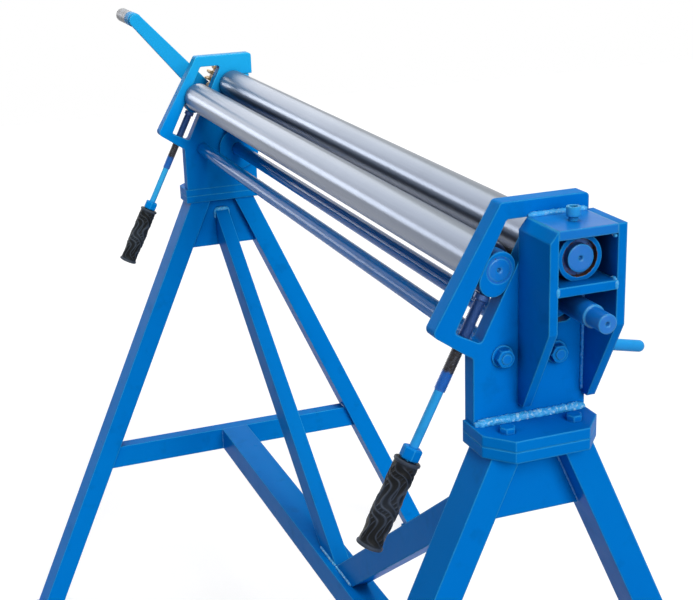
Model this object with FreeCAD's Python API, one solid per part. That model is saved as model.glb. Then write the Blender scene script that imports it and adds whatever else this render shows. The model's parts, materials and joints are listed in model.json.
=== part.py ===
import FreeCAD, Part

import math
import os

from FreeCAD import Vector

# Hand slip roll machine on an A-frame stand. Millimetres.
# Frame: X along the rolls with the crank at the -X end, -Y the operator's side, +Z up,
# origin on the floor midway between the side plates. Heights named *_h are measured from the
# top of the base plates, which lies deck_z above the floor.

# ---- rolls
roll_length = 1400.0
roll_dia = 61.0
roll_end_gap = 5.0          # roll face to side plate
nip_gap = 3.5               # between top and lower roll, lever in its middle place
top_axis_y = 36.0
top_axis_h = 225.5
front_roll_shift = 6.0      # front roll axis above the middle of its sliding block
roll_end_round = 6.0        # on the top and front rolls' ends

# ---- shaft ends and fasteners
centre_drill_dia = 7.0
centre_drill_depth = 5.6
centre_drill_tip = 0.5      # radius
hexagon_chamfer = 1.5       # on the outer corners of nuts and bolt heads

# ---- clearances
running_fit = 0.05          # radial, shaft in bush
slide_gap = 0.3             # each side, block in its window
seat_gap = 0.3              # faces of different bodies that meet
journal_room = 1.5          # radial, journal through an opening that doesn't carry it
stud_room = 0.5             # radial, clamped stud in its plate
beyond = 1.0                # cutters and joined pieces reach this far past a face

# ---- side plates
plate_thick = 25.0
plate_front_y = -79.0
plate_rear_y = 82.0
plate_top_rise = 64.5       # plate's top above the top roll's axis
plate_crown_y = -41.0       # where the sloping front edge meets the top
hook_depth = 44.0           # material over the mouth at the rear
jaw_tip_y = -135.5          # lower front corner of the sloping arm
jaw_tip_drop = 94.9         # corners below the top roll's axis
jaw_heel_y = -93.0
jaw_heel_drop = 124.5
jaw_root_drop = 133.5
plate_corner_r = 6.0
jaw_corner_r = 9.0

# ---- sloping slot for the front roll
slot_tilt = 27.2            # degrees from upright
slot_width = 41.0
slot_foot_y = -86.3         # middle of the slot's lower end
slot_foot_drop = 106.0      # below the top roll's axis
slot_corner_r = 5.0
slot_top_room = 8.5         # over the block at its highest
slot_foot_room = 2.6        # under the screw's collar at its lowest
thread_bore_above = 5.0     # threaded bore past the slot's foot
thread_bore_below = 60.0
front_block_length = 60.0
front_travel_up = 36.0
front_travel_down = 48.0
front_journal_dia = 30.0
front_bush_wall = 2.5

# ---- lead screws with their bars and grips
screw_dia = 16.0
screw_spare = 39.5          # thread below the slot's foot with the block at its highest
screw_pin_dia = 12.0
screw_pin_length = 14.0
screw_collar_dia = 20.0
screw_collar_length = 8.0
bar_dia = 12.5
bar_nut_flats = 20.0
bar_nut_thick = 7.5
bar_length = 98.0           # bar from thread to grip
grip_length = 125.0
grip_dia = 33.0
grip_flange_dia = 39.0
grip_flange_thick = 5.0
grip_end_wall = 4.0

# ---- lower roll, its sliding blocks and the lift
lower_window_width = 50.0
lower_window_floor_r = 10.0
lower_window_floor_room = 5.3   # under the block at its lowest
lower_window_top_r = 8.0
lower_block_head = 24.0     # block above the lower roll axis
lower_block_corner_r = 10.0
lower_journal_dia = 35.0
lower_bush_wall = 4.0
lower_shoulder = 9.5        # journal starts this far inside the side plate
lift_up = 2.0
lift_down = 0.8
cam_throw = 4.0
cam_dia = 90.0
cam_thick = 8.0
cam_plate_gap = 0.5
stub_root_dia = 30.0
stub_root_reach = 96.0      # beyond the side plate
stub_dia = 25.0
stub_length = 32.0

# ---- rods between the side plates
rod_dia = 27.0
end_stud_dia = 14.0         # threaded ends of both rods
end_stud_tip = 1.5          # beyond the nut
end_nut_flats = 22.0
end_nut_thick = 11.0
washer_dia = 30.0
washer_thick = 2.5
tie_rod_y = -39.0
tie_rod_rise = 5.5          # tie rod's axis above the lift shaft's
lift_shaft_y = 38.0
lift_shaft_drop = 77.0      # below the lower roll's axis
lift_journal_dia = 20.0
lever_dia = 16.5
lever_length = 166.0
lever_droop = 12.0          # degrees below level, towards the rear
lever_inset = 21.0          # lever axis inside the near plate

# ---- bearing box outside the near plate
box_depth = 80.0
box_front_reach = 52.5      # from the top roll's axis
box_rear_reach = 53.0
box_wall = 12.0
box_chamfer_h = 15.0
box_full_depth_drop = 87.5  # lower end of the full depth below the top roll's axis
box_toe_h = 21.0
box_toe_depth = 15.0
ring_start = 20.0           # from the side plate
ring_length = 40.0
ring_wall = 6.5
ring_room = 0.7             # between the ring and the roof
ring_flat = 1.8             # cut off the ring where it sits on the shelf
top_bush_wall = 6.0
top_bush_recess = 8.0       # bush's outer face inside the ring's
top_journal_dia = 35.5
top_journal_reach = 62.0    # beyond the side plate
clamp_dia = 12.0
clamp_head_dia = 18.0
clamp_head_height = 12.0
clamp_head_rise = 6.0       # shank shown under the head
clamp_socket_flats = 10.0
clamp_socket_depth = 6.0
clamp_x = 42.0              # from the side plate

# ---- bearing at the crank end of the top roll
far_journal_dia = 28.0
far_bush_wall = 4.0
far_flange_thick = 10.0
far_flange_rear_y = 80.0
far_flange_screw_dia = 8.0
far_flange_screw_head = 15.0
far_flange_screw_depth = 15.0   # in the plate
far_flange_screw_room = 5.0     # countersink from the mouth
far_flange_screw_edge = 3.0     # countersink from the flange's edge
far_tail_room = 5.0         # housing's tail short of the flange's rear edge

# ---- gears
gear_teeth = 13
gear_width = 26.0
gear_start = 44.0           # from the side plate
gear_bore_dia = 25.0
gear_pressure = 20.0
gear_addendum = 0.95        # of the module
gear_dedendum = 1.25
gear_backlash = 0.3
gear_boss_dia = 42.0
gear_boss_length = 8.0
gear_shaft_spare = 2.0      # top roll's end beyond its gear

# ---- crank
crank_shaft_dia = 30.0
crank_start = 91.0          # arm's inner face from the side plate
crank_thick = 12.0
crank_radius = 267.5
crank_angle = 131.2         # degrees from +Y, seen from the near end
crank_root_r = 22.0
crank_tip_r = 14.0
crank_hub_dia = 46.0
handle_boss_dia = 31.0
handle_boss_length = 37.0
handle_pin_dia = 16.0
handle_dia = 30.0
handle_length = 86.0
handle_recess_dia = 25.0
handle_recess_depth = 7.0
handle_head_thick = 4.0

# ---- stand
deck_z = 970.0              # floor to the top of the base plates
deck_thick = 15.0           # base plate and stand plate, each
deck_depth = 92.0           # outwards from the side plate's inner face
deck_half_y = 82.5
deck_chamfer_x = 35.0
deck_chamfer_y = 30.0
deck_bolt_out = 59.0        # from the side plate's inner face
deck_bolt_y = 48.0
deck_bolt_dia = 12.0
deck_bolt_flats = 19.0
deck_bolt_head = 8.0
leg_in = 4.0                # leg's inner face from the side plate's inner face
leg_half_y = 72.0           # leg's outer edge at the stand plate
leg_wide = 60.0
leg_deep = 40.0
leg_splay = 0.45            # outwards per unit of height
tube_wall = 3.0
foot_wide = 70.0
foot_thick = 8.0
foot_ledge = 55.0           # foot plate beyond the leg's outer edge
foot_heel = 5.0             # foot plate inside the leg's inner edge
anchor_dia = 12.0
anchor_out = 30.0           # anchor hole beyond the leg's outer edge
rail_high = 50.0
rail_wide = 30.0
rail_top_h = -588.0
stay_in = 19.0              # rail's and gusset's inner face from the side plate's inner face
beam_wide = 60.0
brace_top_h = -55.0
gusset_thick = 8.0
gusset_drop = 107.0

# ---- worked out
face_in = roll_length / 2 + roll_end_gap
face_out = face_in + plate_thick
lower_axis_h = top_axis_h - roll_dia - nip_gap
lift_shaft_h = lower_axis_h - lift_shaft_drop
tie_rod_h = lift_shaft_h + tie_rod_rise
plate_top_h = top_axis_h + plate_top_rise
slot_foot_h = top_axis_h - slot_foot_drop
box_front_y = top_axis_y - box_front_reach
box_rear_y = top_axis_y + box_rear_reach
top_bush_bore = top_journal_dia + 2 * running_fit
ring_r = top_bush_bore / 2 + top_bush_wall + ring_wall
box_roof_h = top_axis_h + ring_r + ring_room
box_shelf_h = top_axis_h - ring_r + ring_flat
tilt = math.radians(slot_tilt)
slot_up = (math.sin(tilt), math.cos(tilt))
mouth_r = top_journal_dia / 2 + journal_room
block_half = slot_width / 2 - slide_gap
block_half_run = front_block_length / 2 - block_half
front_block_rest = (front_travel_down + front_block_length / 2 + seat_gap + screw_collar_length
                    + slot_foot_room)
slot_top_h = (slot_foot_h + (front_block_rest + front_travel_up + block_half_run) * slot_up[1]
              + block_half + slot_top_room)
screw_tail = front_travel_up + screw_spare
end_stack = washer_thick + end_nut_thick
lower_block_r = lower_window_width / 2 - slide_gap
deck_under_h = -2 * deck_thick
leg_x0 = face_in + leg_in
stay_x0 = face_in + stay_in
rail_under_h = rail_top_h - rail_high


def point(x, y, h):
    """A point from its place along the rolls, depth and height over the base plates."""
    return Vector(x, y, deck_z + h)


def along_slot(s, x=0.0):
    """The point s above the slot's foot, measured along the slot."""
    return point(x, slot_foot_y + s * slot_up[0], slot_foot_h + s * slot_up[1])


def cylinder(dia, start, end):
    axis = end.sub(start)
    return Part.makeCylinder(dia / 2, axis.Length, start, axis)


def rod_x(dia, x0, x1, y, h):
    return cylinder(dia, point(x0, y, h), point(x1, y, h))


def tube_x(dia, bore, x0, x1, y, h):
    return rod_x(dia, x0, x1, y, h).cut(rod_x(bore, x0 - beyond, x1 + beyond, y, h))


def box(x0, x1, y0, y1, h0, h1):
    corner = point(min(x0, x1), min(y0, y1), min(h0, h1))
    return Part.makeBox(abs(x1 - x0), abs(y1 - y0), abs(h1 - h0), corner)


def rounded_wire(corners):
    """A closed wire through (point, radius) corners, each rounded by a tangent arc."""
    starts, ends, arcs = [], [], []
    count = len(corners)
    for i, (corner, radius) in enumerate(corners):
        back = corners[i - 1][0].sub(corner).normalize()
        ahead = corners[(i + 1) % count][0].sub(corner).normalize()
        half = back.getAngle(ahead) / 2
        reach = radius / math.tan(half)
        starts.append(corner.add(back * reach))
        ends.append(corner.add(ahead * reach))
        bisector = back.add(ahead).normalize()
        arcs.append(corner.add(bisector * (radius / math.sin(half) - radius)))
    edges = []
    for i, (corner, radius) in enumerate(corners):
        if radius > 0:
            edges.append(Part.Arc(starts[i], arcs[i], ends[i]).toShape())
        following = (i + 1) % count
        edges.append(Part.LineSegment(ends[i], starts[following]).toShape())
    return Part.Wire(edges)


def profile_x(outline, x0, x1):
    """A prism along X over an outline of (y, h, corner radius)."""
    wire = rounded_wire([(point(x0, y, h), radius) for y, h, radius in outline])
    return Part.Face(wire).extrude(Vector(x1 - x0, 0, 0))


def profile_y(outline, y0, y1):
    """A prism along Y over an outline of (x, h)."""
    wire = rounded_wire([(point(x, y0, h), 0) for x, h in outline])
    return Part.Face(wire).extrude(Vector(0, y1 - y0, 0))


def hexagon(flats, base, axis):
    """A hexagonal prism standing on base, as long as axis."""
    side = Vector(1, 0, 0) if abs(axis.x) < 0.5 * axis.Length else Vector(0, 0, 1)
    across = axis.cross(side).normalize() * (flats / math.sqrt(3))
    corners = []
    for i in range(6):
        spin = FreeCAD.Rotation(axis, 60 * i)
        corners.append(base.add(spin.multVec(across)))
    return Part.Face(Part.makePolygon(corners + corners[:1])).extrude(axis)


def hex_head(flats, base, axis):
    """A nut or bolt head standing on base, its outer corners chamfered."""
    blank = Part.makeCylinder(flats / math.sqrt(3), axis.Length, base, axis)
    rims = [edge for edge in blank.Edges if edge.Closed]
    outer_rim = max(rims, key=lambda edge: edge.CenterOfMass.distanceToPoint(base))
    return hexagon(flats, base, axis).common(blank.makeChamfer(hexagon_chamfer, [outer_rim]))


def mirrored(shape):
    """The same piece at the other end of the rolls."""
    return shape.mirror(Vector(0, 0, 0), Vector(1, 0, 0))


def centre_drilled(shaft, x, y, h, inward):
    """A centre-drill cone in a shaft's end face."""
    cone = Part.makeCone(centre_drill_dia / 2, centre_drill_tip, centre_drill_depth, point(x, y, h),
                         Vector(inward, 0, 0))
    return shaft.cut(cone)


def round_ended_barrel(y, h):
    """A roll's barrel with its two end edges rounded."""
    barrel = rod_x(roll_dia, -roll_length / 2, roll_length / 2, y, h)
    rims = [edge for edge in barrel.Edges if edge.Closed]
    return barrel.makeFillet(roll_end_round, rims)


# ---- side plates
def mouth_cut():
    """The throat, open to the rear, that the top roll's journal passes through."""
    under_h = plate_top_h - hook_depth
    dy = plate_rear_y - top_axis_y
    dh = under_h - top_axis_h
    touch = math.atan2(dh, dy) + math.acos(mouth_r / math.hypot(dy, dh))
    touch_y = top_axis_y + mouth_r * math.cos(touch)
    touch_h = top_axis_h + mouth_r * math.sin(touch)
    slope = (under_h - touch_h) / (plate_rear_y - touch_y)
    out_y = plate_rear_y + hook_depth
    throat = [
        (top_axis_y, top_axis_h - mouth_r, 0),
        (out_y, top_axis_h - mouth_r, 0),
        (out_y, under_h + slope * (out_y - plate_rear_y), 0),
        (touch_y, touch_h, 0),
    ]
    seat = rod_x(2 * mouth_r, face_in - beyond, face_out + beyond, top_axis_y, top_axis_h)
    return profile_x(throat, face_in - beyond, face_out + beyond).fuse(seat)


def slot_cut():
    """The sloping slot, square at its foot and level at its top."""
    half_level = slot_width / 2 / slot_up[1]
    top_middle = slot_foot_y + (slot_top_h - slot_foot_h) * math.tan(tilt)
    out_y = slot_width / 2 * slot_up[1]
    out_h = slot_width / 2 * slot_up[0]
    outline = [
        (top_middle - half_level, slot_top_h, slot_corner_r),
        (slot_foot_y - out_y, slot_foot_h + out_h, slot_corner_r),
        (slot_foot_y + out_y, slot_foot_h - out_h, slot_corner_r),
        (top_middle + half_level, slot_top_h, slot_corner_r),
    ]
    return profile_x(outline, face_in - beyond, face_out + beyond)


def lower_window_cut():
    """The upright window of the lower roll's block."""
    top_h = lower_axis_h + lower_block_head + lift_up + seat_gap + journal_room
    floor_h = cam_top_block_h() - lower_block_r - lift_down - lower_window_floor_room
    half = lower_window_width / 2
    outline = [
        (top_axis_y - half, floor_h, lower_window_floor_r),
        (top_axis_y + half, floor_h, lower_window_floor_r),
        (top_axis_y + half, top_h, lower_window_top_r),
        (top_axis_y - half, top_h, lower_window_top_r),
    ]
    return profile_x(outline, face_in - beyond, face_out + beyond)


def side_plate():
    outline = [
        (plate_front_y, 0, 0),
        (plate_rear_y, 0, 0),
        (plate_rear_y, plate_top_h, plate_corner_r),
        (plate_crown_y, plate_top_h, plate_corner_r),
        (jaw_tip_y, top_axis_h - jaw_tip_drop, jaw_corner_r),
        (jaw_heel_y, top_axis_h - jaw_heel_drop, jaw_corner_r),
        (plate_front_y, top_axis_h - jaw_root_drop, plate_corner_r),
    ]
    plate = profile_x(outline, face_in, face_out)
    plate = plate.cut([mouth_cut(), slot_cut(), lower_window_cut()])
    middle = face_in + plate_thick / 2
    thread_bore = cylinder(screw_dia + 2 * running_fit, along_slot(-thread_bore_below, middle),
                           along_slot(thread_bore_above, middle))
    tie_hole = rod_x(end_stud_dia + 2 * stud_room, face_in - beyond, face_out + beyond, tie_rod_y,
                     tie_rod_h)
    shaft_bore_dia = lift_journal_dia + 2 * running_fit
    shaft_hole = rod_x(shaft_bore_dia, face_in - beyond, face_out + beyond, lift_shaft_y,
                       lift_shaft_h)
    return plate.cut([thread_bore, tie_hole, shaft_hole])


# ---- bearing box outside the near plate
def box_cheek(y0, y1):
    """A cheek, full depth above and tapered to a toe below."""
    outer = face_out + box_depth
    outline = [
        (face_out, box_toe_h),
        (face_out + box_toe_depth, box_toe_h),
        (outer, top_axis_h - box_full_depth_drop),
        (outer, box_roof_h + box_wall),
        (face_out, box_roof_h + box_wall),
    ]
    return profile_y(outline, y0, y1)


def box_cheek_front():
    cheek = box_cheek(box_front_y, box_front_y + box_wall)
    top_h = box_roof_h + box_wall
    bevel = [
        (box_front_y - beyond, top_h - box_chamfer_h, 0),
        (box_front_y, top_h - box_chamfer_h, 0),
        (box_front_y + box_wall, top_h, 0),
        (box_front_y + box_wall, top_h + beyond, 0),
        (box_front_y - beyond, top_h + beyond, 0),
    ]
    return cheek.cut(profile_x(bevel, face_out - beyond, face_out + box_depth + beyond))


def box_cheek_rear():
    return box_cheek(box_rear_y - box_wall, box_rear_y)


def box_deck(under_h):
    """A level plate between the cheeks, its top at under_h plus the wall."""
    inner_front = box_front_y + box_wall
    inner_rear = box_rear_y - box_wall
    return box(face_out, face_out + box_depth, inner_front, inner_rear, under_h, under_h + box_wall)


def box_roof():
    x = face_out + clamp_x
    hole = cylinder(clamp_dia + 2 * running_fit, point(x, top_axis_y, box_roof_h - beyond),
                    point(x, top_axis_y, box_roof_h + box_wall + beyond))
    return box_deck(box_roof_h).cut(hole)


def box_shelf():
    return box_deck(box_shelf_h - box_wall)


def bearing_ring():
    """The ring around the top roll's near bush, flattened where it sits on the shelf."""
    x0 = face_out + ring_start
    bore = top_bush_bore + 2 * top_bush_wall
    ring = tube_x(2 * ring_r, bore, x0, x0 + ring_length, top_axis_y, top_axis_h)
    below = box(x0 - beyond, x0 + ring_length + beyond, box_front_y, box_rear_y, 0, box_shelf_h)
    return ring.cut(below)


def bearing_bush_near():
    x0 = face_out + ring_start
    x1 = x0 + ring_length - top_bush_recess
    return tube_x(top_bush_bore + 2 * top_bush_wall, top_bush_bore, x0, x1, top_axis_y, top_axis_h)


def clamp_screw():
    """Socket-head screw that holds the ring down through the box's roof."""
    x = face_out + clamp_x
    tip_h = top_axis_h + ring_r + seat_gap
    head_h = box_roof_h + box_wall + clamp_head_rise
    top_h = head_h + clamp_head_height
    shank = cylinder(clamp_dia, point(x, top_axis_y, tip_h), point(x, top_axis_y, head_h))
    head = cylinder(clamp_head_dia, point(x, top_axis_y, head_h), point(x, top_axis_y, top_h))
    socket_base = point(x, top_axis_y, top_h - clamp_socket_depth)
    socket = hexagon(clamp_socket_flats, socket_base, Vector(0, 0, clamp_socket_depth + beyond))
    return shank.fuse(head).cut(socket)


# ---- bearing at the crank end of the top roll
def far_bush_bore():
    return far_journal_dia + 2 * running_fit


def far_flange_screw_places():
    """(y, h) of the three countersunk screws around the mouth."""
    lip = mouth_r + far_flange_screw_head / 2 + far_flange_screw_room
    rear_y = far_flange_rear_y - far_flange_screw_head / 2 - far_flange_screw_edge
    return [
        (rear_y, top_axis_h + lip),
        (rear_y, top_axis_h - lip),
        (top_axis_y - lip, top_axis_h - mouth_r),
    ]


def far_bearing():
    """Flanged housing seated in the far plate's mouth, flange on the outside."""
    places = far_flange_screw_places()
    margin = far_flange_screw_head / 2 + far_flange_screw_edge
    top_h = places[0][1] + margin
    foot_h = places[1][1] - margin
    front_y = places[2][0] - margin
    outline = [
        (far_flange_rear_y, foot_h, plate_corner_r),
        (far_flange_rear_y, top_h, plate_corner_r),
        (top_axis_y + margin, top_h, plate_corner_r),
        (front_y, top_axis_h, plate_corner_r),
        (front_y, foot_h, plate_corner_r),
    ]
    flange = profile_x(outline, face_out, face_out + far_flange_thick)
    spigot = rod_x(2 * mouth_r, face_in, face_out, top_axis_y, top_axis_h)
    tail = box(face_in, face_out, top_axis_y, far_flange_rear_y - far_tail_room, top_axis_h - mouth_r,
               top_axis_h + mouth_r).common(mouth_cut())
    bore_dia = far_bush_bore() + 2 * far_bush_wall
    bore = rod_x(bore_dia, face_in - beyond, face_out + far_flange_thick + beyond, top_axis_y,
                 top_axis_h)
    housing = flange.fuse([spigot, tail]).cut([bore] + [far_screw(y, h) for y, h in places])
    return mirrored(housing)


def far_screw(y, h):
    """Countersunk screw, flush with the flange and tapped into the plate."""
    outer = face_out + far_flange_thick
    cone_length = (far_flange_screw_head - far_flange_screw_dia) / 2
    shank = rod_x(far_flange_screw_dia, face_out - far_flange_screw_depth, outer, y, h)
    cone = Part.makeCone(far_flange_screw_head / 2, far_flange_screw_dia / 2, cone_length,
                         point(outer, y, h), Vector(-1, 0, 0))
    return shank.fuse(cone)


def far_bearing_screws():
    return Part.makeCompound([mirrored(far_screw(y, h)) for y, h in far_flange_screw_places()])


def far_bush():
    bore = far_bush_bore()
    bush = tube_x(bore + 2 * far_bush_wall, bore, face_in, face_out + far_flange_thick,
                  top_axis_y, top_axis_h)
    return mirrored(bush)


# ---- tie rod and lift shaft
def end_nut(seat, y, h):
    """Nut on a rod's threaded end, over its washer."""
    nut = hex_head(end_nut_flats, point(seat + washer_thick, y, h), Vector(end_nut_thick, 0, 0))
    return nut.cut(rod_x(end_stud_dia, seat, seat + end_stack + beyond, y, h))


def end_washer(seat, y, h):
    return tube_x(washer_dia, end_stud_dia, seat, seat + washer_thick, y, h)


def tie_rod():
    """Spacer rod with a threaded end through each plate."""
    reach = face_out + end_stack + end_stud_tip
    body = rod_x(rod_dia, -face_in, face_in, tie_rod_y, tie_rod_h)
    return body.fuse(rod_x(end_stud_dia, -reach, reach, tie_rod_y, tie_rod_h))


def lift_shaft():
    """Turning shaft: a journal in each plate, threaded ends, and a hole for the lever."""
    y, h = lift_shaft_y, lift_shaft_h
    journal = face_out + seat_gap
    reach = journal + end_stack + end_stud_tip
    shaft = rod_x(rod_dia, seat_gap - face_in, face_in - seat_gap, y, h)
    ends = [rod_x(lift_journal_dia, -journal, journal, y, h), rod_x(end_stud_dia, -reach, reach, y, h)]
    return shaft.fuse(ends).cut(lift_lever())


def lift_cam():
    """Eccentric disc on the shaft, just inside the plate, under the lower roll's block."""
    x1 = face_in - cam_plate_gap
    disc = rod_x(cam_dia, x1 - cam_thick, x1, lift_shaft_y + cam_throw, lift_shaft_h)
    hole = rod_x(rod_dia, x1 - cam_thick - beyond, x1 + beyond, lift_shaft_y, lift_shaft_h)
    return disc.cut(hole)


def lift_lever():
    """Round lever through the shaft, domed at its tip."""
    x = face_in - lever_inset
    droop = math.radians(lever_droop)
    reach = lever_length - lever_dia / 2
    start = point(x, lift_shaft_y, lift_shaft_h)
    tip = point(x, lift_shaft_y + reach * math.cos(droop), lift_shaft_h - reach * math.sin(droop))
    return cylinder(lever_dia, start, tip).fuse(Part.makeSphere(lever_dia / 2, tip))


# ---- lower roll
def cam_top_block_h():
    """Height of the lower block's round foot centre, resting just over the cam."""
    reach = cam_dia / 2 + lower_block_r + seat_gap
    offset = lift_shaft_y + cam_throw - top_axis_y
    return lift_shaft_h + math.sqrt(reach * reach - offset * offset)


def lower_block():
    """Sliding block with a round foot that reaches in over the cam."""
    x0 = face_in - cam_plate_gap - cam_thick
    foot_h = cam_top_block_h()
    head_h = lower_axis_h + lower_block_head
    outline = [
        (top_axis_y - lower_block_r, foot_h, 0),
        (top_axis_y + lower_block_r, foot_h, 0),
        (top_axis_y + lower_block_r, head_h, lower_block_corner_r),
        (top_axis_y - lower_block_r, head_h, lower_block_corner_r),
    ]
    block = profile_x(outline, x0, face_out)
    block = block.fuse(rod_x(2 * lower_block_r, x0, face_out, top_axis_y, foot_h))
    bore = rod_x(lower_bush_dia(), x0 - beyond, face_out + beyond, top_axis_y, lower_axis_h)
    return block.cut(bore).removeSplitter()


def lower_bush_dia():
    return lower_journal_dia + 2 * running_fit + 2 * lower_bush_wall


def lower_bush():
    x0 = face_in - cam_plate_gap - cam_thick
    bore = lower_journal_dia + 2 * running_fit
    return tube_x(lower_bush_dia(), bore, x0, face_out, top_axis_y, lower_axis_h)


def lower_roll():
    """Driven roll: bare stub at the near end, gear and crank seats at the far end."""
    y, h = top_axis_y, lower_axis_h
    barrel = face_in - lower_shoulder - cam_thick
    root_x = face_out + stub_root_reach
    stub_x = root_x + stub_length
    crank_x = face_out + crank_start + crank_thick
    roll = rod_x(roll_dia, -barrel, barrel, y, h)
    roll = roll.fuse([
        rod_x(lower_journal_dia, -face_out - beyond, face_out + beyond, y, h),
        rod_x(stub_root_dia, face_out, root_x, y, h),
        rod_x(stub_dia, root_x, stub_x, y, h),
        rod_x(crank_shaft_dia, -crank_x, -face_out, y, h),
    ])
    return centre_drilled(roll.removeSplitter(), stub_x, y, h, -1)


# ---- top roll
def top_roll():
    """Idler over the lower roll, carried in the box ring and the far housing."""
    y, h = top_axis_y, top_axis_h
    near_x = face_out + top_journal_reach
    gear_x = face_out + gear_start + gear_width + gear_boss_length + gear_shaft_spare
    roll = round_ended_barrel(y, h).fuse([
        rod_x(top_journal_dia, 0, near_x, y, h),
        rod_x(far_journal_dia, -face_out - far_flange_thick - beyond, 0, y, h),
        rod_x(gear_bore_dia, -gear_x, 0, y, h),
    ])
    return centre_drilled(roll.removeSplitter(), near_x, y, h, -1)


# ---- gears
def involute(base_r, radius, start):
    """The (y, h) point of an involute at a radius, turned by start radians."""
    roll_angle = math.sqrt(max((radius / base_r) ** 2 - 1, 0))
    turn = start + roll_angle - math.atan(roll_angle)
    return radius * math.cos(turn), radius * math.sin(turn)


def gear(axis_h, bore_dia):
    """Spur gear with a tooth straight up; its pitch radius suits the lifted roll."""
    pitch_r = (top_axis_h - lower_axis_h - lift_up) / 2
    module = 2 * pitch_r / gear_teeth
    base_r = pitch_r * math.cos(math.radians(gear_pressure))
    tip_r = pitch_r + gear_addendum * module
    root_r = pitch_r - gear_dedendum * module
    pitch_roll = math.sqrt((pitch_r / base_r) ** 2 - 1)
    at_pitch = pitch_roll - math.atan(pitch_roll)
    half_tooth = (math.pi * module / 2 - gear_backlash) / 2 / pitch_r
    flank_start = -half_tooth - at_pitch
    x0 = face_out + gear_start
    x1 = x0 + gear_width

    def place(polar_y, polar_h, turn):
        y = polar_y * math.cos(turn) - polar_h * math.sin(turn)
        h = polar_y * math.sin(turn) + polar_h * math.cos(turn)
        return point(-x0, top_axis_y + y, axis_h + h)

    edges = []
    pitch_angle = 2 * math.pi / gear_teeth
    for tooth in range(gear_teeth):
        turn = math.pi / 2 + tooth * pitch_angle
        flank = [involute(base_r, r, flank_start) for r in (base_r, (base_r + tip_r) / 2, tip_r)]
        rising = [place(y, h, turn) for y, h in flank]
        falling = [place(y, -h, turn) for y, h in reversed(flank)]
        root_in = place(root_r * math.cos(flank_start), root_r * math.sin(flank_start), turn)
        root_out = place(root_r * math.cos(-flank_start), root_r * math.sin(-flank_start), turn)
        gap_middle = place(root_r * math.cos(pitch_angle / 2), root_r * math.sin(pitch_angle / 2), turn)
        next_root = place(root_r * math.cos(flank_start), root_r * math.sin(flank_start),
                          turn + pitch_angle)
        edges.append(Part.LineSegment(root_in, rising[0]).toShape())
        edges.append(Part.Arc(*rising).toShape())
        edges.append(Part.Arc(rising[2], place(tip_r, 0, turn), falling[0]).toShape())
        edges.append(Part.Arc(*falling).toShape())
        edges.append(Part.LineSegment(falling[2], root_out).toShape())
        edges.append(Part.Arc(root_out, gap_middle, next_root).toShape())
    wheel = Part.Face(Part.Wire(edges)).extrude(Vector(x0 - x1, 0, 0))
    boss = rod_x(gear_boss_dia, -x1, -x1 - gear_boss_length, top_axis_y, axis_h)
    bore = rod_x(bore_dia, -x0 + beyond, -x1 - gear_boss_length - beyond, top_axis_y, axis_h)
    return wheel.fuse(boss).cut(bore)


# ---- crank
def crank_tip():
    """(y, h) of the handle's axis."""
    angle = math.radians(crank_angle)
    return top_axis_y + crank_radius * math.cos(angle), lower_axis_h + crank_radius * math.sin(angle)


def crank_arm():
    """Flat bar, wide at the shaft and narrow at the handle, with round ends."""
    x0 = -face_out - crank_start
    x1 = x0 - crank_thick
    angle = math.radians(crank_angle)
    lean = math.acos((crank_root_r - crank_tip_r) / crank_radius)
    tip_y, tip_h = crank_tip()
    sides = []
    for side in (1, -1):
        direction = angle + side * lean
        root = (top_axis_y + crank_root_r * math.cos(direction),
                lower_axis_h + crank_root_r * math.sin(direction))
        tip = (tip_y + crank_tip_r * math.cos(direction), tip_h + crank_tip_r * math.sin(direction))
        sides.append((root, tip))
    (root_a, tip_a), (root_b, tip_b) = sides
    web = profile_x([(*root_a, 0), (*tip_a, 0), (*tip_b, 0), (*root_b, 0)], x1, x0)
    root_disc = rod_x(2 * crank_root_r, x1, x0, top_axis_y, lower_axis_h)
    tip_disc = rod_x(2 * crank_tip_r, x1, x0, tip_y, tip_h)
    arm = web.fuse([root_disc, tip_disc]).removeSplitter()
    shaft_hole = rod_x(crank_shaft_dia, x1 - beyond, x0 + beyond, top_axis_y, lower_axis_h)
    return arm.cut(shaft_hole)


def crank_hub():
    """Collar between the gear and the crank arm."""
    x0 = -face_out - gear_start - gear_width - gear_boss_length
    x1 = -face_out - crank_start
    return tube_x(crank_hub_dia, crank_shaft_dia, x1, x0, top_axis_y, lower_axis_h)


def crank_pin():
    """Boss on the arm with the pin and head that keep the handle on."""
    y, h = crank_tip()
    x0 = -face_out - crank_start - crank_thick
    x1 = x0 - handle_boss_length
    x2 = x1 - seat_gap - handle_length + handle_recess_depth - seat_gap
    x3 = x2 - handle_head_thick
    boss = rod_x(handle_boss_dia, x1, x0, y, h)
    pin = rod_x(handle_pin_dia, x3, x0, y, h)
    head = rod_x(handle_recess_dia - 2 * seat_gap, x3, x2, y, h)
    return boss.fuse([pin, head]).removeSplitter()


def crank_handle():
    """Free-turning steel sleeve, counterbored for the pin's head."""
    y, h = crank_tip()
    x0 = -face_out - crank_start - crank_thick - handle_boss_length - seat_gap
    x1 = x0 - handle_length
    sleeve = tube_x(handle_dia, handle_pin_dia + 2 * running_fit, x1, x0, y, h)
    recess = rod_x(handle_recess_dia, x1 - beyond, x1 + handle_recess_depth, y, h)
    return sleeve.cut(recess)


# ---- front roll and its blocks
def front_roll_place():
    middle = along_slot(front_block_rest + front_roll_shift)
    return middle.y, middle.z - deck_z


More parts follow.
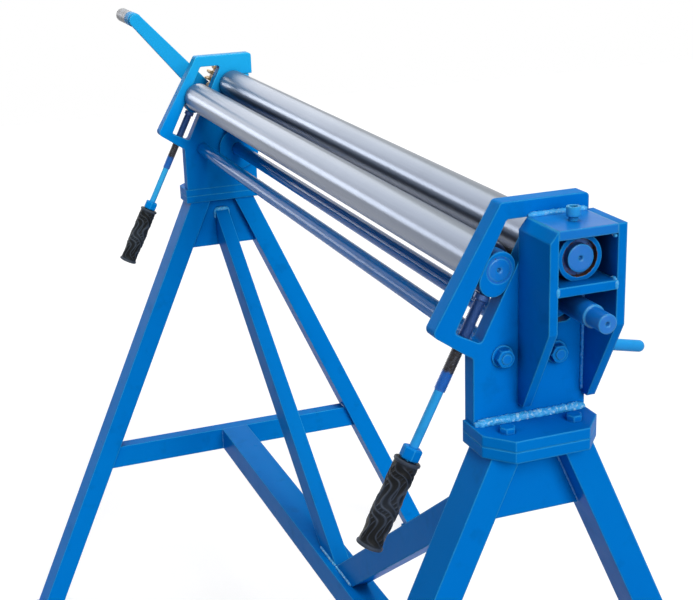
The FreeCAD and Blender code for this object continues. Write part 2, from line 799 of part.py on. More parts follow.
def front_block():
    """Stadium-shaped block in the sloping slot, bored for the bush and the screw's pin."""
    low = along_slot(front_block_rest - block_half_run)
    high = along_slot(front_block_rest + block_half_run)
    out_y = block_half * slot_up[1]
    out_h = block_half * slot_up[0]
    corners = []
    for end, side in ((low, -1), (low, 1), (high, 1), (high, -1)):
        corners.append((end.y + side * out_y, end.z - deck_z - side * out_h, 0))
    block = profile_x(corners, face_in, face_out)
    for end in (low, high):
        block = block.fuse(rod_x(2 * block_half, face_in, face_out, end.y, end.z - deck_z))
    y, h = front_roll_place()
    bush_hole = rod_x(front_bush_dia(), face_in - beyond, face_out + beyond, y, h)
    middle = face_in + plate_thick / 2
    foot = front_block_rest - front_block_length / 2
    pin_hole = cylinder(screw_pin_dia + 2 * running_fit, along_slot(foot - beyond, middle),
                        along_slot(foot + screw_pin_length, middle))
    return block.removeSplitter().cut([bush_hole, pin_hole])


def front_bush_dia():
    return front_journal_dia + 2 * running_fit + 2 * front_bush_wall


def front_bush():
    y, h = front_roll_place()
    return tube_x(front_bush_dia(), front_journal_dia + 2 * running_fit, face_in, face_out, y, h)


def front_roll():
    """Bending roll, journalled in the two sliding blocks."""
    y, h = front_roll_place()
    journals = rod_x(front_journal_dia, -face_out, face_out, y, h)
    roll = round_ended_barrel(y, h).fuse(journals).removeSplitter()
    roll = centre_drilled(roll, face_out, y, h, -1)
    return centre_drilled(roll, -face_out, y, h, 1)


# ---- lead screws
def screw():
    """Lead screw: pin held in the block, collar, then thread through the jaw."""
    x = face_in + plate_thick / 2
    foot = front_block_rest - front_block_length / 2
    collar_top = foot - seat_gap
    collar_end = collar_top - screw_collar_length
    pin = cylinder(screw_pin_dia, along_slot(collar_end, x),
                   along_slot(foot + screw_pin_length - seat_gap, x))
    collar = cylinder(screw_collar_dia, along_slot(collar_end, x), along_slot(collar_top, x))
    thread = cylinder(screw_dia, along_slot(-screw_tail, x), along_slot(collar_end, x))
    return thread.fuse([collar, pin])


def screw_bar():
    """Bar below the thread, with the nut that stops the grip."""
    x = face_in + plate_thick / 2
    grip_top = -screw_tail - bar_length
    bar_end = grip_top - grip_length + grip_end_wall
    bar = cylinder(bar_dia, along_slot(bar_end, x), along_slot(-screw_tail, x))
    base = along_slot(grip_top, x)
    axis = along_slot(grip_top + bar_nut_thick, x).sub(base)
    return bar.fuse(hex_head(bar_nut_flats, base, axis))


def screw_grip():
    """Sleeve grip with a flange at each end, closed over the bar's end."""
    x = face_in + plate_thick / 2
    top = -screw_tail - bar_length
    end = top - grip_length
    grip = cylinder(grip_dia, along_slot(end, x), along_slot(top, x))
    for start in (end, top - grip_flange_thick):
        flange = cylinder(grip_flange_dia, along_slot(start, x), along_slot(start + grip_flange_thick, x))
        grip = grip.fuse(flange)
    bore = cylinder(bar_dia, along_slot(end + grip_end_wall, x), along_slot(top + beyond, x))
    return grip.removeSplitter().cut(bore)


# ---- stand
def deck_outline():
    """(x, y) corners of the octagon half under one side plate."""
    x0 = face_in
    x1 = face_in + deck_depth
    cut_x = x1 - deck_chamfer_x
    cut_y = deck_half_y - deck_chamfer_y
    return [(x0, -deck_half_y), (cut_x, -deck_half_y), (x1, -cut_y), (x1, cut_y), (cut_x, deck_half_y),
            (x0, deck_half_y)]


def deck_layer(under_h):
    """One octagon-half plate with clearance for the deck bolts."""
    corners = [point(x, y, under_h) for x, y in deck_outline()]
    plate = Part.Face(Part.makePolygon(corners + corners[:1])).extrude(Vector(0, 0, deck_thick))
    for side in (-1, 1):
        x = face_in + deck_bolt_out
        y = side * deck_bolt_y
        hole = cylinder(deck_bolt_dia, point(x, y, under_h - beyond),
                        point(x, y, under_h + deck_thick + beyond))
        plate = plate.cut(hole)
    return plate


def deck_bolt(end, side):
    """Hex screw through the base plate into the stand plate."""
    x = end * (face_in + deck_bolt_out)
    y = side * deck_bolt_y
    head = hex_head(deck_bolt_flats, point(x, y, 0), Vector(0, 0, deck_bolt_head))
    return head.fuse(cylinder(deck_bolt_dia, point(x, y, deck_under_h), point(x, y, 0)))


def leg_section(y_out, y_in, top_h, foot_h, x0, x1):
    """A splayed prism between two offsets from the leg's outer edge."""
    run = leg_splay * (top_h - foot_h)
    outline = [
        (-leg_half_y + y_out, top_h, 0),
        (-leg_half_y + y_in, top_h, 0),
        (-leg_half_y + y_in - run, foot_h, 0),
        (-leg_half_y + y_out - run, foot_h, 0),
    ]
    return profile_x(outline, x0, x1)


def leg_level():
    """The leg's depth measured level instead of square to its slope."""
    return leg_deep * math.hypot(1, leg_splay)


def leg():
    """Splayed rectangular tube from the stand plate to the foot plate, front side."""
    foot_h = foot_thick - deck_z
    wall_level = tube_wall * math.hypot(1, leg_splay)
    outer = leg_section(0, leg_level(), deck_under_h, foot_h, leg_x0, leg_x0 + leg_wide)
    inner = leg_section(wall_level, leg_level() - wall_level, deck_under_h, foot_h,
                        leg_x0 + tube_wall, leg_x0 + leg_wide - tube_wall)
    return outer.cut(inner)


def leg_inner_y(h):
    """Distance of a leg's inner edge from the middle at a height."""
    return leg_half_y - leg_level() + leg_splay * (deck_under_h - h)


def foot_plate():
    """Flat pad under one leg with an anchor hole in its ledge, front side."""
    top_h = foot_thick - deck_z
    middle_x = leg_x0 + leg_wide / 2
    inner_y = -leg_inner_y(top_h)
    outer_y = inner_y - leg_level()
    pad = box(middle_x - foot_wide / 2, middle_x + foot_wide / 2, outer_y - foot_ledge,
              inner_y + foot_heel, -deck_z, top_h)
    hole_y = outer_y - anchor_out
    return pad.cut(cylinder(anchor_dia, point(middle_x, hole_y, -deck_z - beyond),
                            point(middle_x, hole_y, top_h + beyond)))


def cross_rail():
    """Rectangular tube between the two legs of one end, its ends cut to their slope."""
    def section(x0, x1, top_h, under_h):
        top_y = leg_inner_y(top_h)
        low_y = leg_inner_y(under_h)
        return profile_x([(-top_y, top_h, 0), (top_y, top_h, 0), (low_y, under_h, 0),
                          (-low_y, under_h, 0)], x0, x1)
    outer = section(stay_x0, stay_x0 + rail_wide, rail_top_h, rail_under_h)
    inner = section(stay_x0 + tube_wall, stay_x0 + rail_wide - tube_wall, rail_top_h - tube_wall,
                    rail_under_h + tube_wall)
    return outer.cut(inner)


def beam():
    """Long tube that ties the two cross rails together."""
    half = beam_wide / 2
    outer = box(-stay_x0, stay_x0, -half, half, rail_under_h, rail_top_h)
    inner = box(-stay_x0, stay_x0, -half + tube_wall, half - tube_wall, rail_under_h + tube_wall,
                rail_top_h - tube_wall)
    return outer.cut(inner)


def brace():
    """Tube from the middle of the beam up to the gusset, cut level below and upright above."""
    rise = brace_top_h - rail_top_h
    slope = math.atan2(rise, stay_x0)

    def section(inset, half):
        drop = (rail_high - inset) / math.cos(slope)
        near = inset / math.cos(slope)
        low_out = drop / math.tan(slope)
        low_in = near / math.tan(slope)
        return profile_y([(low_in, rail_top_h), (low_out, rail_top_h), (stay_x0, brace_top_h - drop),
                          (stay_x0, brace_top_h - near)], -half, half)
    return section(0, rail_wide / 2).cut(section(tube_wall, rail_wide / 2 - tube_wall))


def gusset():
    """Plate that fills the corner between the two legs under the stand plate."""
    low_h = deck_under_h - gusset_drop
    top_y = leg_inner_y(deck_under_h)
    low_y = leg_inner_y(low_h)
    outline = [(-top_y, deck_under_h, 0), (top_y, deck_under_h, 0), (low_y, low_h, 0), (-low_y, low_h, 0)]
    return profile_x(outline, stay_x0, stay_x0 + gusset_thick)


def rear(shape):
    """The same piece on the other side of the machine."""
    return shape.mirror(Vector(0, 0, 0), Vector(0, 1, 0))


def both_ends(shape):
    return Part.makeCompound([shape, mirrored(shape)])


def build():
    """Every node by name."""
    near = {
        "side_plate": side_plate(),
        "base_plate": deck_layer(-deck_thick),
        "stand_plate": deck_layer(deck_under_h),
        "leg_front": leg(),
        "leg_rear": rear(leg()),
        "cross_rail": cross_rail(),
        "brace": brace(),
        "gusset": gusset(),
        "lift_cam": lift_cam(),
        "lower_block": lower_block(),
        "front_block": front_block(),
        "lead_screw": screw(),
        "screw_bar": screw_bar(),
        "screw_grip": screw_grip(),
    }
    nodes = {}
    for name, shape in near.items():
        nodes[name + "_near"] = shape
        nodes[name + "_far"] = mirrored(shape)
    nodes["side_plate_far"] = nodes["side_plate_far"].cut(far_bearing_screws().Solids)
    deck_bolts = [deck_bolt(end, side) for end in (-1, 1) for side in (-1, 1)]
    feet = [foot_plate(), rear(foot_plate())]
    nodes.update({
        "deck_bolts": Part.makeCompound(deck_bolts),
        "foot_plates": Part.makeCompound(feet + [mirrored(foot) for foot in feet]),
        "beam": beam(),
        "box_cheek_front": box_cheek_front(),
        "box_cheek_rear": box_cheek_rear(),
        "box_roof": box_roof(),
        "box_shelf": box_shelf(),
        "bearing_ring": bearing_ring(),
        "bearing_bush_near": bearing_bush_near(),
        "bearing_housing_far": far_bearing(),
        "bearing_bush_far": far_bush(),
        "bearing_screws_far": far_bearing_screws(),
        "clamp_screw": clamp_screw(),
        "tie_rod": tie_rod(),
        "tie_rod_nuts": both_ends(end_nut(face_out, tie_rod_y, tie_rod_h)),
        "tie_rod_washers": both_ends(end_washer(face_out, tie_rod_y, tie_rod_h)),
        "lift_shaft": lift_shaft(),
        "lift_lever": lift_lever(),
        "lift_nuts": both_ends(end_nut(face_out + seat_gap, lift_shaft_y, lift_shaft_h)),
        "lift_washers": both_ends(end_washer(face_out + seat_gap, lift_shaft_y, lift_shaft_h)),
        "lower_bushes": both_ends(lower_bush()),
        "lower_roll": lower_roll(),
        "lower_gear": gear(lower_axis_h, crank_shaft_dia),
        "crank_hub": crank_hub(),
        "crank_arm": crank_arm(),
        "crank_pin": crank_pin(),
        "crank_handle": crank_handle(),
        "top_roll": top_roll(),
        "top_gear": gear(top_axis_h, gear_bore_dia),
        "front_bushes": both_ends(front_bush()),
        "front_roll": front_roll(),
    })
    return nodes


os.makedirs("parts", exist_ok=True)
for node, solid in build().items():
    solid.exportStep(os.path.join("parts", node + ".step"))
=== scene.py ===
import json
import math

import bpy
from mathutils import Matrix, Vector, noise


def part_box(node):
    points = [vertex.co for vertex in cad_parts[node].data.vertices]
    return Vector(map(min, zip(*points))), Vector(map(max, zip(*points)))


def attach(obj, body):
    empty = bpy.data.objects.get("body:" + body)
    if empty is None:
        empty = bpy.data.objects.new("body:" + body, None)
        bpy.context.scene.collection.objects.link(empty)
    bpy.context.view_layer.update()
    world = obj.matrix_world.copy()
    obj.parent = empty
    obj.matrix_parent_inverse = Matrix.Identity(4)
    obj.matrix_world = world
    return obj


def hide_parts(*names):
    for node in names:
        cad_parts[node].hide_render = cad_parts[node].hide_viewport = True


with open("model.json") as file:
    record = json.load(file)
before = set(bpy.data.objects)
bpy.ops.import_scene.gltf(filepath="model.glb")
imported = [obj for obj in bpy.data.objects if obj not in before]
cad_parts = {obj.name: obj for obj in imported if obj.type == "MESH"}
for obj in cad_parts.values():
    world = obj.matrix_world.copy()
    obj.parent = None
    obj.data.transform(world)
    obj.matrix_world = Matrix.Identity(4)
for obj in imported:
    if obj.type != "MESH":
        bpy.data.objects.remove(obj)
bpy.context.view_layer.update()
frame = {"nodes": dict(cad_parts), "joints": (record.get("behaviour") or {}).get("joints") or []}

# ---- camera, solved from the photograph of 693 x 600 pixels
IMAGE_W = 693.0
FOCAL_PX = 1380.7
SENSOR = 36.0
CAMERA_AT = (2.2010, -0.7929, 1.6806)
CAMERA_AZ, CAMERA_EL, CAMERA_ROLL = 69.634, 18.19, -1.87
CAMERA_CLIP = (0.05, 100)


def make_camera():
    """The photograph's camera, with its roll."""
    az, el, roll = (math.radians(v) for v in (CAMERA_AZ, CAMERA_EL, CAMERA_ROLL))
    back = Vector((math.sin(az) * math.cos(el), -math.cos(az) * math.cos(el), math.sin(el)))
    right = Vector((math.cos(az), math.sin(az), 0))
    up = back.cross(right)
    x_axis = right * math.cos(roll) + up * math.sin(roll)
    y_axis = up * math.cos(roll) - right * math.sin(roll)
    data = bpy.data.cameras.new("camera")
    data.sensor_width = SENSOR
    data.lens = FOCAL_PX * SENSOR / IMAGE_W
    data.clip_start, data.clip_end = CAMERA_CLIP
    camera = bpy.data.objects.new("camera", data)
    turn = Matrix((x_axis, y_axis, back)).transposed()
    camera.matrix_world = Matrix.Translation(CAMERA_AT) @ turn.to_4x4()
    bpy.context.scene.collection.objects.link(camera)
    bpy.context.scene.camera = camera


# ---- places taken from the frame
ENDS = (("near", 1), ("far", -1))


def low(node):
    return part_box(node)[0]


def high(node):
    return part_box(node)[1]


def outer_x(node, sign):
    """x of the node's face away from the machine's middle."""
    return high(node).x if sign > 0 else low(node).x


def joint(name):
    return next(j for j in frame["joints"] if j["name"] == name)


FACE_OUT = high("side_plate_near").x
FACE_IN = low("side_plate_near").x
RING_BORE_R = (high("bearing_bush_near").z - low("bearing_bush_near").z) / 2
SLOT_UP = Vector(joint("front_slide")["axis"])
SLOT_FOOT = Vector(joint("near_screw_turn")["pos_m"])


def screw_place(end):
    """Foot of the slot on a lead screw's axis."""
    foot = SLOT_FOOT.copy()
    foot.x = abs(foot.x) if end == "near" else -abs(foot.x)
    return foot


def places_and_radii(node, foot):
    """Each vertex of a node as its place along the screw's axis and its distance from it."""
    pairs = []
    for vertex in frame["nodes"][node].data.vertices:
        offset = vertex.co - foot
        place = offset.dot(SLOT_UP)
        pairs.append((place, (offset - SLOT_UP * place).length))
    return pairs


# ---- node helpers
BEVEL_SAMPLES = 6
HOLLOW_SAMPLES = 8
# Cosine between the softened and the flat normal: at an edge up to the first, on a face from the second.
EDGE_TURN = (0.80, 0.995)
# Open share round a point: in a hollow up to the first, in the open from the second.
OPEN_SHARE = (0.15, 0.75)


def linear(r, g, b):
    """sRGB 0-255 to the linear colour a shader takes."""
    def channel(v):
        v /= 255
        return v / 12.92 if v <= 0.04045 else ((v + 0.055) / 1.055) ** 2.4
    return (channel(r), channel(g), channel(b), 1)


class Shader:
    """A material under construction, ending in one Principled BSDF."""

    def __init__(self, name, **constants):
        self.material = bpy.data.materials.new(name)
        self.material.use_nodes = True
        self.tree = self.material.node_tree
        self.bsdf = self.tree.nodes["Principled BSDF"]
        self.set(**constants)
        self.place = self.add("ShaderNodeTexCoord").outputs["Object"]

    def feed(self, socket, value):
        """Link a socket to value, or store value in it when it is a constant."""
        if isinstance(value, bpy.types.NodeSocket):
            self.tree.links.new(value, socket)
        else:
            socket.default_value = value

    def set(self, **sockets):
        """Feed the shader's own sockets, named with _ for a space."""
        for name, value in sockets.items():
            self.feed(self.bsdf.inputs[name.replace("_", " ")], value)
        return self.material

    def add(self, kind, settings=None, **inputs):
        """A new node, its inputs named or numbered as i0, i1 and so on."""
        node = self.tree.nodes.new(kind)
        for key, value in (settings or {}).items():
            setattr(node, key, value)
        for key, value in inputs.items():
            numbered = key[0] == "i" and key[1:].isdigit()
            self.feed(node.inputs[int(key[1:]) if numbered else key], value)
        return node

    def math(self, operation, a, b=0.0, clamp=False):
        settings = {"operation": operation, "use_clamp": clamp}
        return self.add("ShaderNodeMath", settings, i0=a, i1=b).outputs[0]

    def vector(self, operation, a, b=(0.0, 0.0, 0.0)):
        return self.add("ShaderNodeVectorMath", {"operation": operation}, i0=a, i1=b)

    def noise(self, scale, detail=3.0, roughness=0.55, stretch=None, distortion=0.0):
        where = self.place
        if stretch:
            mapping = self.add("ShaderNodeMapping", {"vector_type": "POINT"}, Vector=where, Scale=stretch)
            where = mapping.outputs[0]
        return self.add("ShaderNodeTexNoise", None, Vector=where, Scale=scale, Detail=detail,
                        Roughness=roughness, Distortion=distortion).outputs["Fac"]

    def band(self, value, bottom, top):
        """0 below bottom and 1 above top, or the other way round where top is the lesser."""
        node = self.add("ShaderNodeMapRange", {"interpolation_type": "SMOOTHSTEP"}, Value=value)
        node.inputs["From Min"].default_value = bottom
        node.inputs["From Max"].default_value = top
        return node.outputs["Result"]

    def span(self, value, bottom, top):
        """value from 0..1 onto bottom..top."""
        node = self.add("ShaderNodeMapRange", None, Value=value)
        node.inputs["To Min"].default_value = bottom
        node.inputs["To Max"].default_value = top
        return node.outputs["Result"]

    def scaled(self, value, share):
        return self.math("MULTIPLY", value, share)

    def inverse(self, value):
        return self.math("SUBTRACT", 1.0, value)

    def mix(self, factor, a, b):
        return self.add("ShaderNodeMix", {"data_type": "RGBA"}, i0=factor, i6=a, i7=b).outputs[2]

    def mix_value(self, factor, a, b):
        return self.add("ShaderNodeMix", {"data_type": "FLOAT"}, i0=factor, i2=a, i3=b).outputs[0]

    def mix_vector(self, factor, a, b):
        return self.add("ShaderNodeMix", {"data_type": "VECTOR"}, i0=factor, i4=a, i5=b).outputs[1]

    def lay(self, under, over, mask, share):
        """A colour laid over another where the mask says, up to a share."""
        return self.mix(self.scaled(mask, share), under, over)

    def axis(self, name):
        return self.add("ShaderNodeSeparateXYZ", None, Vector=self.place).outputs[name]

    def along(self, direction, offset):
        """Distance of a point along a direction, less offset."""
        dot = self.vector("DOT_PRODUCT", self.place, direction)
        return self.math("SUBTRACT", dot.outputs["Value"], offset)

    def from_line(self, centre, direction):
        """Distance from the line through centre along a unit direction."""
        offset = self.vector("SUBTRACT", self.place, centre).outputs[0]
        across = self.vector("CROSS_PRODUCT", offset, direction).outputs[0]
        return self.vector("LENGTH", across).outputs["Value"]

    def ragged(self, value, scale, detail, reach):
        """value with its contours frayed by up to reach."""
        return self.math("ADD", value, self.span(self.noise(scale, detail), -reach, reach))

    def bump(self, height, distance, normal=None):
        node = self.add("ShaderNodeBump", None, Height=height, Distance=distance)
        if normal is not None:
            self.feed(node.inputs["Normal"], normal)
        return node.outputs["Normal"]

    def rounded(self, radius):
        """Normal of an edge broken to a radius, and how much of an edge the point is."""
        soft = self.add("ShaderNodeBevel", {"samples": BEVEL_SAMPLES}, Radius=radius).outputs["Normal"]
        flat = self.add("ShaderNodeNewGeometry").outputs["Normal"]
        dot = self.vector("DOT_PRODUCT", soft, flat).outputs["Value"]
        return soft, self.inverse(self.band(dot, *EDGE_TURN))

    def hollow_shade(self, reach):
        """How far a point sits in a corner or a hollow, for the painted shade there."""
        node = self.add("ShaderNodeAmbientOcclusion", {"samples": HOLLOW_SAMPLES}, Distance=reach)
        return self.inverse(self.band(node.outputs["AO"], *OPEN_SHARE))


# ---- colours
BLUE = linear(0, 130, 220)
BLUE_DEEP = linear(0, 112, 206)
BLUE_LIT = linear(34, 156, 214)
BLUE_PALE = linear(62, 180, 240)
BLUE_GLINT = linear(186, 230, 248)
BLUE_SHADE = linear(0, 26, 84)
GRIME = linear(8, 48, 104)
STEEL = linear(120, 129, 145)
STEEL_DULL = linear(107, 115, 130)
STEEL_DARK = linear(70, 70, 74)
RUST = linear(98, 62, 40)
RUST_DARK = linear(52, 44, 40)
BRONZE = linear(150, 112, 66)
TAN = linear(214, 176, 122)
GREASE = linear(128, 98, 62)
RUBBER_GROOVE_SHADE = linear(9, 12, 16)
RUBBER_DUST_AND_SHEEN = linear(62, 72, 88)

# ---- enamel
PAINT_SHINE = 0.01
ROD_SHINE = 0.06
ROOF_SHINE = 0.2
WELD_SHINE = 0.4
PAINT_TONES = (BLUE, BLUE_DEEP)
PAINT_ROUGH = (0.22, 0.42)
ROD_ROUGH = (0.08, 0.16)
BAR_ROUGH = (0.12, 0.24)
PAINT_EDGE = 0.0042
PAINT_SHADE_REACH = 0.06
PEEL_HEIGHT = 0.00004
# Painted light on the far head: the paint is lightened from the first x or z on, and fully at the second.
FAR_LIGHT_X = (-0.40, -0.72)
FAR_LIGHT_Z = (1.10, 1.26)


def paint_layers(shader, rough=PAINT_ROUGH, tones=PAINT_TONES):
    """Colour, roughness and normal of the enamel."""
    broad = shader.noise(5.0, 2.0)
    cloud = shader.noise(26.0, 4.0)
    specks = shader.noise(420.0, 2.0)
    soft, edge = shader.rounded(PAINT_EDGE)
    # Broken edges get pale paint: a painted highlight, and thin worn paint.
    worn_edge_highlight = shader.math("MULTIPLY", edge, shader.span(shader.noise(60.0, 3.0), 0.55, 1.1), True)
    colour = shader.mix(shader.span(broad, 0.1, 0.9), *tones)
    # painted light: the high part of the far head is lightened as if a lamp fell on it
    height = shader.band(shader.axis("Z"), *FAR_LIGHT_Z)
    far_light = shader.math("MULTIPLY", shader.band(shader.axis("X"), *FAR_LIGHT_X), height)
    colour = shader.lay(colour, BLUE_LIT, far_light, 0.6)
    colour = shader.lay(colour, GRIME, shader.band(cloud, 0.56, 0.74), 0.14)
    colour = shader.lay(colour, BLUE_PALE, shader.band(specks, 0.66, 0.8), 0.10)
    # painted shade: darker navy in corners and hollows
    colour = shader.lay(colour, BLUE_SHADE, shader.hollow_shade(PAINT_SHADE_REACH), 0.75)
    colour = shader.lay(colour, BLUE_PALE, worn_edge_highlight, 0.85)
    roughness = shader.span(cloud, *rough)
    fine = shader.noise(700.0, 2.0)
    peel = shader.math("ADD", fine, shader.scaled(shader.noise(70.0, 2.0), 3.0))
    return colour, roughness, shader.bump(peel, PEEL_HEIGHT, soft)


def blue_paint(name="blue_paint", shine=PAINT_SHINE, rough=PAINT_ROUGH, tones=PAINT_TONES):
    """Plain enamel."""
    shader = Shader(name, Specular_IOR_Level=shine)
    colour, roughness, normal = paint_layers(shader, rough, tones)
    return shader.set(Base_Color=colour, Roughness=roughness, Normal=normal)


RIM_BARE = (0.0002, 0.0009)
RIM_FRAY = 0.0012


def ring_paint():
    """Enamel up to a rusty rim that was left bare round the bore."""
    shader = Shader("ring_paint", Specular_IOR_Level=PAINT_SHINE)
    paint, paint_rough, normal = paint_layers(shader)
    radius = shader.from_line(joint("top_turn")["pos_m"], (1, 0, 0))
    radius = shader.ragged(radius, 260.0, 3.0, RIM_FRAY)
    bare = shader.inverse(shader.band(radius, RING_BORE_R + RIM_BARE[0], RING_BORE_R + RIM_BARE[1]))
    tone = shader.mix(shader.band(shader.noise(160.0, 3.0), 0.42, 0.60), RUST, RUST_DARK)
    return shader.set(Base_Color=shader.mix(bare, paint, tone), Normal=normal,
                      Roughness=shader.mix_value(bare, paint_rough, 0.4),
                      Metallic=shader.span(bare, 0.0, 0.5))


WELD_SHADE_REACH = 0.05


def weld_paint(name, crest_highlight_share, glint_share, rough_height):
    """Enamel over a rippled bead: painted shade in its hollows, and pale thin paint with painted
    highlights and glints on the crests.
    """
    shader = Shader(name, Specular_IOR_Level=WELD_SHINE)
    grain = shader.noise(190.0, 3.0, 0.6)
    lumps = shader.noise(90.0, 3.0, 0.6)
    # painted shade: the bead darkens to navy in its hollows
    shaded = shader.lay(BLUE, BLUE_SHADE, shader.hollow_shade(WELD_SHADE_REACH), 0.6)
    # painted highlight: pale crests on the lumps, and near-white glints in the grain
    crest_highlight = shader.span(shader.band(lumps, 0.40, 0.60), crest_highlight_share - 0.2, crest_highlight_share)
    colour = shader.mix(crest_highlight, shaded, BLUE_PALE)
    colour = shader.lay(colour, BLUE_GLINT, shader.band(grain, 0.54, 0.62), glint_share)
    height = shader.math("ADD", grain, lumps)
    return shader.set(Base_Color=colour, Roughness=shader.span(grain, 0.18, 0.4),
                      Normal=shader.bump(height, rough_height))


# ---- metal and rubber
STEEL_METAL = 0.95
STEEL_EDGE = 0.0014
STEEL_GRAIN_HEIGHT = 0.000016
ROLL_RINGS = (1400.0, 18.0, 18.0)
ROLL_DRAWN = (3.0, 240.0, 240.0)


def ground_steel(name, painted):
    """Ground bar; painted(shader) gives the mask of its overpainted ends."""
    shader = Shader(name, Specular_IOR_Level=0.5, Anisotropic=0.6, Anisotropic_Rotation=0.25)
    round_x = shader.add("ShaderNodeTangent", {"direction_type": "RADIAL", "axis": "X"}).outputs[0]
    shader.set(Tangent=round_x)
    rings = shader.noise(1.0, 3.0, 0.6, stretch=ROLL_RINGS)
    drawn = shader.noise(1.0, 4.0, 0.6, stretch=ROLL_DRAWN)
    smear = shader.noise(7.0, 4.0, 0.6, distortion=0.6)
    colour = shader.mix(shader.span(drawn, 0.15, 0.85), STEEL, STEEL_DULL)
    colour = shader.lay(colour, STEEL_DARK, shader.band(smear, 0.60, 0.80), 0.16)
    roughness = shader.math("ADD", shader.span(rings, 0.22, 0.32), shader.scaled(smear, 0.06))
    soft, _ = shader.rounded(STEEL_EDGE)
    height = shader.math("ADD", rings, shader.scaled(drawn, 0.6))
    normal = shader.bump(height, STEEL_GRAIN_HEIGHT, soft)
    mask = painted(shader)
    paint, paint_rough, paint_normal = paint_layers(shader)
    return shader.set(Base_Color=shader.mix(mask, colour, paint),
                      Roughness=shader.mix_value(mask, roughness, paint_rough),
                      Metallic=shader.span(mask, STEEL_METAL, 0.0),
                      Normal=shader.mix_vector(mask, normal, paint_normal))


BRUSH_FRAY = 0.0012
BRUSH_FADE = 0.0006


def beyond_x(limit):
    """Mask of what lies past a place along the rolls, with a brushed-on edge."""
    def mask(shader):
        place = shader.ragged(shader.axis("X"), 220.0, 2.0, BRUSH_FRAY)
        return shader.band(place, limit - BRUSH_FADE, limit + BRUSH_FADE)
    return mask


# Places along the screw's axis from the slot's foot: painted above the one, and below the other.
THREAD_PAINT_TOP = (-0.012, -0.006)
THREAD_PAINT_LOW = (-0.052, -0.046)
THREAD_PAINT_FRAY = 0.006


def thread_steel():
    """Dark oily thread, overpainted in the slot and again towards the bar."""
    shader = Shader("thread_steel", Specular_IOR_Level=0.5)
    place = shader.along(SLOT_UP, SLOT_FOOT.dot(SLOT_UP))
    place = shader.ragged(place, 160.0, 3.0, THREAD_PAINT_FRAY)
    above = shader.band(place, *THREAD_PAINT_TOP)
    below = shader.inverse(shader.band(place, *THREAD_PAINT_LOW))
    painted = shader.math("MAXIMUM", shader.scaled(above, 0.62), shader.scaled(below, 0.9))
    wear = shader.noise(520.0, 3.0)
    bare = shader.mix(shader.band(wear, 0.42, 0.62), STEEL_DARK, RUST_DARK)
    bare = shader.mix(shader.band(shader.noise(900.0, 2.0), 0.54, 0.66), bare, STEEL)
    # painted shade: the paint on the thread inside the slot is darkened
    paint = shader.lay(BLUE_DEEP, BLUE_SHADE, above, 0.35)
    cover = shader.math("MULTIPLY", painted, shader.span(wear, 0.75, 1.1), True)
    return shader.set(Base_Color=shader.mix(cover, bare, paint), Metallic=shader.span(painted, 0.75, 0.1),
                      Roughness=shader.span(wear, 0.28, 0.5), Normal=shader.bump(wear, 0.0002))


def greased_steel():
    """Gear steel under dried tan grease."""
    shader = Shader("greased_steel", Specular_IOR_Level=0.3)
    smear = shader.noise(60.0, 4.0, 0.65, distortion=0.8)
    colour = shader.mix(shader.band(smear, 0.48, 0.74), TAN, GREASE)
    return shader.set(Base_Color=colour, Metallic=0.1, Roughness=shader.span(smear, 0.6, 0.36),
                      Normal=shader.bump(smear, 0.0006))


def bronze(name, paint_share, metal=BRONZE, stain=RUST):
    """Bush metal with paint smeared over its face."""
    shader = Shader(name, Specular_IOR_Level=0.5)
    smear = shader.noise(210.0, 3.0, 0.6)
    tone = shader.mix(shader.band(shader.noise(90.0, 3.0), 0.4, 0.65), metal, stain)
    painted = shader.band(smear, 0.62 - 0.4 * paint_share, 0.72 - 0.4 * paint_share)
    painted = shader.inverse(painted) if paint_share < 0.5 else painted
    painted = shader.math("MULTIPLY", painted, paint_share + 0.35, True)
    return shader.set(Base_Color=shader.mix(painted, tone, BLUE_DEEP),
                      Metallic=shader.span(painted, 0.7, 0.0),
                      Roughness=shader.span(smear, 0.3, 0.5), Normal=shader.bump(smear, 0.0003))


TREAD_DEPTH = 0.0013
GRIP_BODY_R = 0.0174


def black_rubber(end):
    """Grip rubber: lighter on the ridges with dust and a painted sheen, and black between them as painted
    shade.
    """
    shader = Shader("black_rubber_" + end, Specular_IOR_Level=0.15)
    pores = shader.noise(900.0, 3.0, 0.7)
    dust_and_sheen = shader.noise(70.0, 4.0, 0.6)
    radius = shader.from_line(screw_place(end), SLOT_UP)
    ridge = shader.band(radius, GRIP_BODY_R - TREAD_DEPTH, GRIP_BODY_R)
    # painted shade in the grooves and painted sheen with dust on the ridges
    colour = shader.lay(RUBBER_GROOVE_SHADE, RUBBER_DUST_AND_SHEEN, ridge, shader.span(dust_and_sheen, 0.5, 1.0))
    return shader.set(Base_Color=colour, Roughness=shader.span(pores, 0.38, 0.6),
                      Normal=shader.bump(pores, 0.00012))


HANDLE_RINGS = (160.0, 12.0, 12.0)


def handle_steel():
    """Turned sleeve with dark and dull bands, browned in patches."""
    shader = Shader("handle_steel", Specular_IOR_Level=0.2)
    bands = shader.noise(1.0, 3.0, 0.6, stretch=HANDLE_RINGS)
    colour = shader.mix(shader.band(bands, 0.40, 0.60), STEEL_DARK, STEEL_DULL)
    colour = shader.lay(colour, RUST_DARK, shader.band(shader.noise(30.0, 3.0), 0.5, 0.7), 0.4)
    return shader.set(Base_Color=colour, Metallic=0.4, Roughness=shader.span(bands, 0.36, 0.46),
                      Normal=shader.bump(bands, 0.00005))


# ---- which node wears what; enamel is on the rest
PAINT = blue_paint()
ROD_PAINT = blue_paint("rod_paint", ROD_SHINE, ROD_ROUGH)
ROOF_PAINT = blue_paint("roof_paint", ROOF_SHINE)
BAR_PAINT = blue_paint("bar_paint", ROD_SHINE, BAR_ROUGH, (BLUE_PALE, BLUE))
WELD_SPECKLED = weld_paint("weld_speckled", 0.85, 0.6, 0.0018)
WELD_SMOOTH = weld_paint("weld_smooth", 0.9, 0.25, 0.0004)
WELD_PLAIN = weld_paint("weld_plain", 0.25, 0.12, 0.0010)

